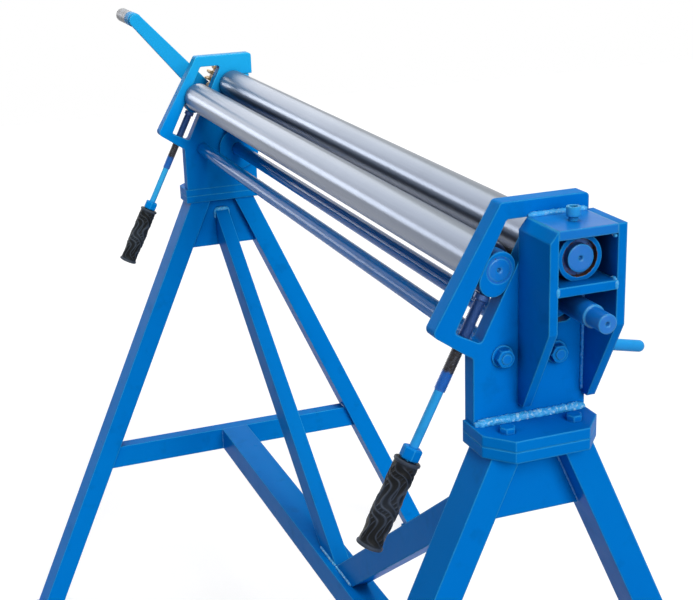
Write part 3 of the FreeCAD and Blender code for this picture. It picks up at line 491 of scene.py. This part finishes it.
FINISH = {
    "bearing_ring": ring_paint(),
    "top_roll": ground_steel("top_roll_steel", beyond_x(FACE_OUT)),
    "lower_roll": ground_steel("lower_roll_steel", beyond_x(FACE_OUT)),
    "front_roll": ground_steel("front_roll_steel", beyond_x(FACE_IN)),
    "lead_screw_near": thread_steel(),
    "lower_gear": greased_steel(),
    "bearing_bush_near": bronze("bronze_greasy", 0.2, RUST, RUST_DARK),
    "front_bushes": bronze("bronze_painted", 0.8),
    "crank_handle": handle_steel(),
    "box_roof": ROOF_PAINT,
    "tie_rod": ROD_PAINT,
    "lift_shaft": ROD_PAINT,
    "lift_lever": BAR_PAINT,
    "clamp_screw": BAR_PAINT,
    "screw_bar_near": BAR_PAINT,
    "screw_bar_far": BAR_PAINT,
    "screw_grip_near": black_rubber("near"),
    "screw_grip_far": black_rubber("far"),
}
for node, same in (("lead_screw_far", "lead_screw_near"), ("top_gear", "lower_gear"),
                   ("bearing_bush_far", "bearing_bush_near"), ("lower_bushes", "front_bushes")):
    FINISH[node] = FINISH[same]


def put_material(piece, material):
    piece.data.materials.clear()
    piece.data.materials.append(material)


def finish_frame():
    """Every CAD node in its own finish, or else in plain enamel."""
    for name, piece in frame["nodes"].items():
        put_material(piece, FINISH.get(name, PAINT))


# ---- mesh pieces
def make_piece(name, points, faces, material, smooth=True):
    mesh = bpy.data.meshes.new(name)
    mesh.from_pydata([tuple(p) for p in points], [], faces)
    mesh.update()
    piece = bpy.data.objects.new(name, mesh)
    bpy.context.scene.collection.objects.link(piece)
    put_material(piece, material)
    if smooth:
        mesh.polygons.foreach_set("use_smooth", [True] * len(mesh.polygons))
    return piece


def shade_by_angle(piece, degrees):
    bpy.context.view_layer.objects.active = piece
    piece.select_set(True)
    bpy.ops.object.shade_smooth_by_angle(angle=math.radians(degrees))
    piece.select_set(False)


def axes_across(axis):
    """Two unit vectors square to axis."""
    side = axis.orthogonal().normalized()
    return side, axis.cross(side).normalized()


class Mesh:
    """Points and faces gathered for one piece."""

    def __init__(self):
        self.points, self.faces = [], []

    def ring(self, centre, side, up, radii):
        """A ring of points, one for each radius."""
        start = len(self.points)
        for i, radius in enumerate(radii):
            angle = 2 * math.pi * i / len(radii)
            self.points.append(centre + (side * math.cos(angle) + up * math.sin(angle)) * radius)
        return range(start, start + len(radii))

    def skin(self, rings):
        """Faces from ring to ring, closed at both ends."""
        self.faces.append(tuple(reversed(rings[0])))
        for first, second in zip(rings, rings[1:]):
            for i in range(len(first)):
                j = (i + 1) % len(first)
                self.faces.append((first[i], first[j], second[j], second[i]))
        self.faces.append(tuple(rings[-1]))

    def turned(self, foot, rows):
        """A closed shape round the screw's axis, from (place, radii) pairs."""
        side, up = axes_across(SLOT_UP)
        self.skin([self.ring(foot + SLOT_UP * place, side, up, radii) for place, radii in rows])


def round_rows(outline, sides, scale=1.0):
    """(place, radius) pairs of a round outline as rows of equal radii."""
    return [(place, [scale * radius] * sides) for place, radius in outline]


# ---- weld beads
WELD_SIDES = 10
WELD_STEP = 0.0016
WELD_STEPS_MIN = 4
RIPPLE_LENGTH = 0.0042
# A bead's form in shares of its radius: ripples, thin ends, wander and lumps.
RIPPLE_LOW, RIPPLE_SWELL, RIPPLE_POWER = 0.90, 0.16, 0.7
TAPER_END = 0.45
WANDER = 0.22
LUMP = 0.20
# Where the wander and the lumps are read from the noise: steps a metre, and how far apart.
WANDER_PER_M, WANDER_APART = 160, Vector((9, 0, 0))
LUMP_PER_M, LUMP_ROUND = 330, 1.3
SEED_STEP = 7


def weld_run(mesh, start, end, radius, seed):
    """One bead from start to end: overlapping ripples, wandering a little."""
    start, end = Vector(start), Vector(end)
    side, up = axes_across((end - start).normalized())
    length = (end - start).length
    count = max(WELD_STEPS_MIN, int(length / WELD_STEP))
    rings = []
    for k in range(count + 1):
        travel = k / count * length
        ripple = (travel / RIPPLE_LENGTH) % 1.0
        swell = RIPPLE_LOW + RIPPLE_SWELL * math.sin(math.pi * ripple) ** RIPPLE_POWER
        taper = min(1.0, TAPER_END + min(travel, length - travel) / (2 * radius))
        at = Vector((seed, travel * WANDER_PER_M, 0))
        wander = side * noise.noise(at) + up * noise.noise(at + WANDER_APART)
        radii = []
        for i in range(WELD_SIDES):
            angle = 2 * math.pi * i / WELD_SIDES
            lump = noise.noise(Vector((math.cos(angle) * LUMP_ROUND, math.sin(angle) * LUMP_ROUND,
                                       travel * LUMP_PER_M + seed)))
            radii.append(radius * taper * (swell + LUMP * lump))
        centre = start.lerp(end, k / count) + wander * radius * WANDER
        rings.append(mesh.ring(centre, side, up, radii))
    mesh.skin(rings)


def weld_piece(name, runs, material):
    """All runs of one kind as one piece of the stand."""
    mesh = Mesh()
    for number, (start, end, radius) in enumerate(runs):
        weld_run(mesh, start, end, radius, SEED_STEP * number)
    piece = make_piece(name, mesh.points, mesh.faces, material)
    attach(piece, "stand")


# Below, BEAD is a bead's radius, PROUD how far its line stands off the corner that it fills, SHORT how
# far inside the edge it ends, and RUN where it starts and stops, or its length.
PLATE_FOOT_BEAD, PLATE_FOOT_PROUD = 0.0066, 0.002
PLATE_FOOT_SHORT = (0.004, 0.001)


def plate_foot_weld(end, sign):
    """The broad bead between a side plate and its base plate."""
    base_low, base_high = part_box("base_plate_" + end)
    x = outer_x("side_plate_" + end, sign) + sign * PLATE_FOOT_PROUD
    z = base_high.z + PLATE_FOOT_PROUD
    return ((x, base_low.y + PLATE_FOOT_SHORT[0], z), (x, base_high.y - PLATE_FOOT_SHORT[1], z),
            PLATE_FOOT_BEAD)


BRACE_FOOT_BEAD, BRACE_FOOT_PROUD = 0.0032, 0.0008
BRACE_FOOT_RUN = (0.002, 0.082)


def brace_foot_welds():
    """Beads along both braces' feet on the beam."""
    runs = []
    z = high("beam").z + BRACE_FOOT_PROUD
    for end, sign in ENDS:
        start, stop = (sign * place for place in BRACE_FOOT_RUN)
        for side in (low("brace_" + end).y, high("brace_" + end).y):
            runs.append(((start, side, z), (stop, side, z), BRACE_FOOT_BEAD))
    return runs


BRACE_TOP_BEAD, BRACE_SIDE_BEAD = 0.0050, 0.0032
BRACE_TOP_SUNK, BRACE_TOP_PROUD = 0.001, 0.0005
BRACE_SIDE_RUN = 0.020


def brace_top_welds():
    """Beads over both braces' tops where they meet the gussets."""
    runs = []
    for end, sign in ENDS:
        brace_low, brace_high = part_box("brace_" + end)
        x = outer_x("brace_" + end, sign) - sign * BRACE_TOP_SUNK
        z = brace_high.z + BRACE_TOP_PROUD
        runs.append(((x, brace_low.y, z), (x, brace_high.y, z), BRACE_TOP_BEAD))
        for side in (brace_low.y, brace_high.y):
            runs.append(((x, side, z), (x, side, z - BRACE_SIDE_RUN), BRACE_SIDE_BEAD))
    return runs


LEG_TOP_BEAD, GUSSET_BEAD, RAIL_BEAD, BEAM_BEAD = 0.0022, 0.0019, 0.0020, 0.0020
# Vertices this close in height are on one level.
LEVEL = 0.0005


def leg_shape(end):
    """Splay of a front leg as run over drop, and its inner half width and depth at the top."""
    points = [v.co for v in frame["nodes"]["leg_front_" + end].data.vertices]
    top = max(p.z for p in points)
    foot = min(p.z for p in points)
    at_top = [p.y for p in points if p.z > top - LEVEL]
    at_foot = [p.y for p in points if p.z < foot + LEVEL]
    splay = (min(at_top) - min(at_foot)) / (top - foot)
    return splay, -max(at_top), max(at_top) - min(at_top)


def stand_welds(end, sign):
    """Leg tops, gusset edges, rail ends and beam end of one A-frame."""
    splay, half_top, leg_deep = leg_shape(end)
    top_z = high("leg_front_" + end).z
    gusset_z = low("gusset_" + end).z
    rail_low, rail_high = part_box("cross_rail_" + end)
    beam_low, beam_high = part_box("beam")
    leg_x = outer_x("leg_front_" + end, sign)
    gusset_x = outer_x("gusset_" + end, sign)
    rail_x = outer_x("cross_rail_" + end, sign)
    beam_x = sign * beam_high.x

    def leg_y(z):
        """Half width between the legs at a height."""
        return half_top + splay * (top_z - z)

    runs = []
    for side in (-1, 1):
        inner, outer = side * half_top, side * (half_top + leg_deep)
        runs.append(((leg_x, inner, top_z), (leg_x, outer, top_z), LEG_TOP_BEAD))
        runs.append(((gusset_x, inner, top_z), (gusset_x, side * leg_y(gusset_z), gusset_z), GUSSET_BEAD))
        for z in (rail_high.z, rail_low.z):
            y = side * leg_y(z)
            runs.append(((rail_low.x, y, z), (rail_high.x, y, z), RAIL_BEAD))
        runs.append(((rail_x, side * leg_y(rail_high.z), rail_high.z),
                     (rail_x, side * leg_y(rail_low.z), rail_low.z), RAIL_BEAD))
    for y in (-beam_high.y, beam_high.y):
        runs.append(((beam_x, y, beam_low.z), (beam_x, y, beam_high.z), BEAM_BEAD))
    return runs


BOX_PROUD = 0.0012
CHEEK_REAR_BEAD, CHEEK_FRONT_BEAD, CHEEK_SHORT = 0.0030, 0.0022, 0.004
ROOF_BEAD, ROOF_SHORT, ROOF_PROUD = 0.0044, (0.012, 0.010), (0.0010, 0.0008)
CORNER_BEAD, CORNER_RUN, CORNER_PROUD, CORNER_DROP = 0.0030, (0.012, 0.002), 0.001, 0.004
SHELF_BEAD, SHELF_RUN = 0.0034, (0.014, 0.001)
SHELF_END_BEAD = 0.0026


def cheek_welds():
    """Plain beads that hold the bearing box's cheeks to the near side plate."""
    front_low, front_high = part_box("box_cheek_front")
    rear_low = low("box_cheek_rear")
    shelf_z = low("box_shelf").z
    x = FACE_OUT + BOX_PROUD
    rear_z, front_z = rear_low.z + CHEEK_SHORT, front_low.z + CHEEK_SHORT
    return [((x, rear_low.y, rear_z), (x, rear_low.y, shelf_z), CHEEK_REAR_BEAD),
            ((x, front_high.y, front_z), (x, front_high.y, shelf_z), CHEEK_FRONT_BEAD)]


def box_welds():
    """Smooth beads over the bearing box's roof, at its corner and at its shelf's ends."""
    front_low, front_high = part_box("box_cheek_front")
    rear_low, rear_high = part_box("box_cheek_rear")
    roof_low, roof_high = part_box("box_roof")
    shelf_low, shelf_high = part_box("box_shelf")
    x = FACE_OUT + BOX_PROUD
    corner_y, corner_z = rear_low.y - CORNER_PROUD, roof_low.z - CORNER_DROP
    runs = [
        ((x, front_low.y + ROOF_SHORT[0], roof_high.z + ROOF_PROUD[0]),
         (x, rear_high.y - ROOF_SHORT[1], roof_high.z + ROOF_PROUD[1]), ROOF_BEAD),
        ((roof_high.x - CORNER_RUN[0], corner_y, corner_z),
         (roof_high.x - CORNER_RUN[1], corner_y, corner_z), CORNER_BEAD),
    ]
    start, stop = (shelf_high.x - place for place in SHELF_RUN)
    for y in (front_high.y, rear_low.y):
        runs.append(((start, y, shelf_high.z), (stop, y, shelf_high.z), SHELF_BEAD))
        runs.append(((stop, y, shelf_low.z), (stop, y, shelf_high.z), SHELF_END_BEAD))
    return runs


def weld_beads():
    """Every visible bead of the welded stand, heads and box."""
    speckled = brace_foot_welds() + [plate_foot_weld(end, sign) for end, sign in ENDS]
    smooth = box_welds() + brace_top_welds()
    plain = stand_welds("near", 1) + stand_welds("far", -1) + cheek_welds()
    weld_piece("weld_beads_speckled", speckled, WELD_SPECKLED)
    weld_piece("weld_beads_smooth", smooth, WELD_SMOOTH)
    weld_piece("weld_beads_plain", plain, WELD_PLAIN)


# ---- lead screws
THREAD_PITCH = 0.002
THREAD_DEPTH = 0.0011
THREAD_STEPS = 20
THREAD_START = 0.001
THREAD_RUNOUT = 0.004
CREST_DROP = 0.0001
COLLAR_STEP = 0.0005
TURNED_EDGE = 0.0007
TURNED_SIDES = 28
TURNED_SMOOTH = 35
OUTLINE_DIGITS = 5


def steps_of(node, foot):
    """(place, greatest radius) wherever the node's turned outline changes."""
    rows = {}
    for place, radius in places_and_radii(node, foot):
        place = round(place, OUTLINE_DIGITS)
        rows[place] = max(rows.get(place, 0.0), round(radius, OUTLINE_DIGITS))
    return sorted(rows.items())


def cut_helix(mesh, foot, tail, collar, thread_r):
    """The thread's profile, its places in shares of the pitch, wound from the tail to the collar."""
    side, up = axes_across(SLOT_UP)
    root_r, crest_r = thread_r - THREAD_DEPTH, thread_r - CREST_DROP
    profile = ((0.0, root_r), (0.30, crest_r), (0.50, crest_r), (0.80, root_r))
    count = (int((collar - tail - THREAD_RUNOUT) / THREAD_PITCH) + 1) * THREAD_STEPS
    grid = []
    for i in range(count + 1):
        angle = 2 * math.pi * i / THREAD_STEPS
        out = side * math.cos(angle) + up * math.sin(angle)
        row = []
        for share, radius in profile:
            place = tail + THREAD_START + (i / THREAD_STEPS + share - 0.5) * THREAD_PITCH
            row.append(len(mesh.points))
            mesh.points.append(foot + SLOT_UP * min(max(place, tail), collar) + out * radius)
        grid.append(row)
    for i in range(count):
        for k in range(len(profile) - 1):
            mesh.faces.append((grid[i][k], grid[i + 1][k], grid[i + 1][k + 1], grid[i][k + 1]))
        next_turn = i + THREAD_STEPS
        if next_turn < count:
            mesh.faces.append((grid[i][-1], grid[i + 1][-1], grid[next_turn + 1][0], grid[next_turn][0]))


def core_outline(rows, tail, collar, root_r):
    """The core under the thread, then the solid's own collar and pin with broken edges."""
    upper = [row for row in rows if row[0] >= collar]
    collar_r, collar_end = upper[0][1], upper[1][0]
    pin_end, pin_r = upper[-1]
    return [(tail, root_r), (collar, root_r),
            (collar, collar_r - TURNED_EDGE), (collar + TURNED_EDGE, collar_r),
            (collar_end - TURNED_EDGE, collar_r), (collar_end, collar_r - TURNED_EDGE),
            (collar_end, pin_r), (pin_end - TURNED_EDGE, pin_r), (pin_end, pin_r - TURNED_EDGE)]


def lead_screw(end):
    """Lead screw with a cut helix; collar and pin keep the solid's outline."""
    node = "lead_screw_" + end
    foot = screw_place(end)
    rows = steps_of(node, foot)
    tail, thread_r = rows[0]
    collar = next(place for place, radius in rows if radius > thread_r + COLLAR_STEP)
    mesh = Mesh()
    cut_helix(mesh, foot, tail, collar, thread_r)
    outline = core_outline(rows, tail, collar, thread_r - THREAD_DEPTH)
    mesh.turned(foot, round_rows(outline, TURNED_SIDES))
    piece = make_piece("thread_" + end, mesh.points, mesh.faces, FINISH[node])
    shade_by_angle(piece, TURNED_SMOOTH)
    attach(piece, end + "_screw")
    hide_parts(node)


# ---- grips
GRIP_ROWS = 260
GRIP_SIDES = 132
GRIP_SMOOTH = 40
GRIP_FLANGE_R = 0.0184
GRIP_FLANGE = 0.005
GRIP_SOCKET = 0.012
GRIP_SOCKET_ROOM = 0.0002
GRIP_BELLY = 0.0004
LIP, LIP_ROUND = 0.0008, 0.0020
FLANGE_FILLET, FLANGE_STEP = 0.0012, 0.0006
# Radii down a flange, in shares of its own: centre disc, rims below and above, lip, and inner edge.
DISC_R, RIM_LOW_R, RIM_TOP_R, LIP_R, INNER_R = 0.45, 0.86, 0.88, 0.97, 0.95
# The tread fades in over a 14th of the body at each end, from this much under the body's belly.
TREAD_FADE = 14
TREAD_END_DROP = 0.0004
# The tread's waves: how many stand round the grip, over what length they repeat along it, how far they
# sway to the side, and how wide their ridges are.
SWAY_LENGTH, WAVE_LENGTH, FORK_LENGTH = 0.052, 0.045, 0.030
SWAY_COUNT, WAVE_COUNT, FORK_COUNT = 2, 4, 7
SWAY, SWAY_TWIST = 0.9, 0.8
WAVE_SWAY, FORK_SWAY = 2.4, 1.6
WAVE_WIDTH, FORK_WIDTH = 0.42, 0.30


def tread(place, angle):
    """Height of the flame-shaped tread: 1 on its thin ridges and 0 between them."""
    full = 2 * math.pi * place
    sway = SWAY * math.sin(full / SWAY_LENGTH + SWAY_TWIST * math.sin(SWAY_COUNT * angle))
    wave = math.sin(WAVE_COUNT * angle + WAVE_SWAY * sway + full / WAVE_LENGTH)
    fork = math.sin(FORK_COUNT * angle - FORK_SWAY * sway - full / FORK_LENGTH)
    ridge = math.exp(-(wave / WAVE_WIDTH) ** 2)
    branch = math.exp(-(fork / FORK_WIDTH) ** 2) * (0.5 + 0.5 * wave)
    return min(1.0, max(ridge, branch))


def tread_rows(tail, body_low, body_high):
    """Rows of the grip's body between its flanges."""
    rows = []
    for k in range(GRIP_ROWS + 1):
        t = k / GRIP_ROWS
        place = body_low + (body_high - body_low) * t
        belly = GRIP_BODY_R - GRIP_BELLY * math.cos(2 * math.pi * t)
        fade = min(1.0, min(t, 1 - t) * TREAD_FADE)
        row = []
        for i in range(GRIP_SIDES):
            height = tread(place - tail, 2 * math.pi * i / GRIP_SIDES)
            row.append(belly - TREAD_DEPTH * (1 - height) * fade - TREAD_END_DROP * (1 - fade))
        rows.append((place, row))
    return rows


def grip(end):
    """Rubber sleeve grip: flanged ends, a shallow belly and a raised flame tread."""
    node = "screw_grip_" + end
    foot = screw_place(end)
    places = [place for place, _ in places_and_radii(node, foot)]
    tail, top = min(places), max(places)
    edge_low, edge_high = tail + GRIP_FLANGE, top - GRIP_FLANGE
    lower = [(tail, DISC_R), (tail, RIM_LOW_R), (tail + LIP, LIP_R), (tail + LIP_ROUND, 1.0),
             (edge_low - FLANGE_FILLET, 1.0), (edge_low, INNER_R)]
    upper = [(edge_high, INNER_R), (edge_high + FLANGE_FILLET, 1.0), (top - LIP_ROUND, 1.0),
             (top - LIP, LIP_R), (top, RIM_TOP_R)]
    socket_r = bar_radius(end) + GRIP_SOCKET_ROOM
    rows = round_rows(lower, GRIP_SIDES, GRIP_FLANGE_R)
    rows += tread_rows(tail, edge_low + FLANGE_STEP, edge_high - FLANGE_STEP)
    rows += round_rows(upper, GRIP_SIDES, GRIP_FLANGE_R)
    rows += round_rows([(top, socket_r), (top - GRIP_SOCKET, socket_r)], GRIP_SIDES)
    mesh = Mesh()
    mesh.turned(foot, rows)
    piece = make_piece("tread_grip_" + end, mesh.points, mesh.faces, FINISH[node])
    shade_by_angle(piece, GRIP_SMOOTH)
    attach(piece, end + "_screw")
    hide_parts(node)


# ---- hexagons above the grips
HEX_SIDES = 6
HEX_CORNER_R = 0.0138
HEX_LENGTH = 0.0175
HEX_CHAMFER = 0.0016
HEX_GAP = 0.0003
AXIS_SPOT_R = 0.002


def bar_radius(end):
    """Radius of the plain bar, the thinnest round of its node; its centre points don't count."""
    pairs = places_and_radii("screw_bar_" + end, screw_place(end))
    return min(radius for _, radius in pairs if radius > AXIS_SPOT_R)


def grip_hexagon(end):
    """Long hexagon that is welded on the bar above the grip."""
    foot = screw_place(end)
    top = max(place for place, _ in places_and_radii("screw_grip_" + end, foot))
    hex_low, hex_high = top + HEX_GAP, top + HEX_LENGTH
    flat_r = HEX_CORNER_R - HEX_CHAMFER
    outline = [(hex_low, flat_r), (hex_low + HEX_CHAMFER, HEX_CORNER_R),
               (hex_high - HEX_CHAMFER, HEX_CORNER_R), (hex_high, flat_r)]
    mesh = Mesh()
    mesh.turned(foot, round_rows(outline, HEX_SIDES))
    piece = make_piece("hexagon_" + end, mesh.points, mesh.faces, PAINT, False)
    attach(piece, end + "_screw")


# ---- floor, world, lamps
FLOOR_SIZE = 14.0
FLOOR_TONES = (linear(168, 168, 171), linear(162, 162, 165))
FLOOR_LIFT = 0.71
AMBIENT = 0.17
# Name, direction, strength and spread in degrees.
SUNS = (
    ("key", (-0.88, -0.04, -0.46), 2.15, 35),
    ("top", (0.10, 0.05, -1.0), 0.92, 60),
    ("back", (0.93, 0.05, -0.30), 0.63, 42),
    ("line", (0.9, 0.42, -0.075), 0.26, 14),
)


def seen_directly(tree):
    """1 for camera, glossy and transmission rays."""
    path = tree.nodes.new("ShaderNodeLightPath")
    total = path.outputs["Is Camera Ray"]
    for ray in ("Is Glossy Ray", "Is Transmission Ray"):
        node = tree.nodes.new("ShaderNodeMath")
        node.operation = "MAXIMUM"
        tree.links.new(total, node.inputs[0])
        tree.links.new(path.outputs[ray], node.inputs[1])
        total = node.outputs[0]
    return total


def make_floor():
    """Matt floor that looks white by itself and sends little light up at the machine."""
    half = FLOOR_SIZE / 2
    points = [(-half, -half, 0), (half, -half, 0), (half, half, 0), (-half, half, 0)]
    shader = Shader("floor_paint", Roughness=0.8, Specular_IOR_Level=0.2)
    tone = shader.mix(shader.span(shader.noise(3.0, 3.0), 0.0, 1.0), *FLOOR_TONES)
    shader.set(Base_Color=tone, Normal=shader.bump(shader.noise(60.0, 2.0), 0.0004))
    strength = shader.scaled(seen_directly(shader.tree), FLOOR_LIFT)
    shader.set(Emission_Color=(1, 1, 1, 1), Emission_Strength=strength)
    floor = make_piece("floor", points, [(0, 1, 2, 3)], shader.material, False)


def make_world():
    """White to the camera and in mirrors, and dim as a light."""
    world = bpy.data.worlds.new("studio")
    bpy.context.scene.world = world
    world.use_nodes = True
    tree = world.node_tree
    background = tree.nodes["Background"]
    background.inputs["Color"].default_value = (1, 1, 1, 1)
    node = tree.nodes.new("ShaderNodeMapRange")
    tree.links.new(seen_directly(tree), node.inputs["Value"])
    node.inputs["To Min"].default_value = AMBIENT
    node.inputs["To Max"].default_value = 1.0
    tree.links.new(node.outputs["Result"], background.inputs["Strength"])


def place_lamp(name, data, towards):
    """A lamp of this kind, shining in a direction."""
    lamp = bpy.data.objects.new(name, data)
    lamp.rotation_mode = "QUATERNION"
    lamp.rotation_quaternion = Vector(towards).to_track_quat("-Z", "Y")
    bpy.context.scene.collection.objects.link(lamp)
    return lamp


def soft_sun(name, towards, strength, spread):
    data = bpy.data.lights.new(name, "SUN")
    data.energy = strength
    data.angle = math.radians(spread)
    place_lamp(name, data, towards)


def soft_box(name, place, aim, size, power, tint):
    """Square studio lamp at place, turned to aim."""
    data = bpy.data.lights.new(name, "AREA")
    data.color = tint
    data.energy = power
    data.size = size
    place_lamp(name, data, Vector(aim) - Vector(place)).location = place


def make_light():
    """Four soft suns, and one warm lamp aimed at the far head."""
    for sun in SUNS:
        soft_sun(*sun)
    soft_box("far_head", place=(0.25, 0.10, 2.1), aim=(-0.78, -0.05, 1.3), size=0.6, power=14,
             tint=(1.0, 1.0, 0.6))


make_camera()
finish_frame()
weld_beads()
for screw_end in ("near", "far"):
    lead_screw(screw_end)
    grip(screw_end)
    grip_hexagon(screw_end)
make_floor()
make_world()
make_light()

scene = bpy.context.scene
scene.view_settings.view_transform = "Standard"
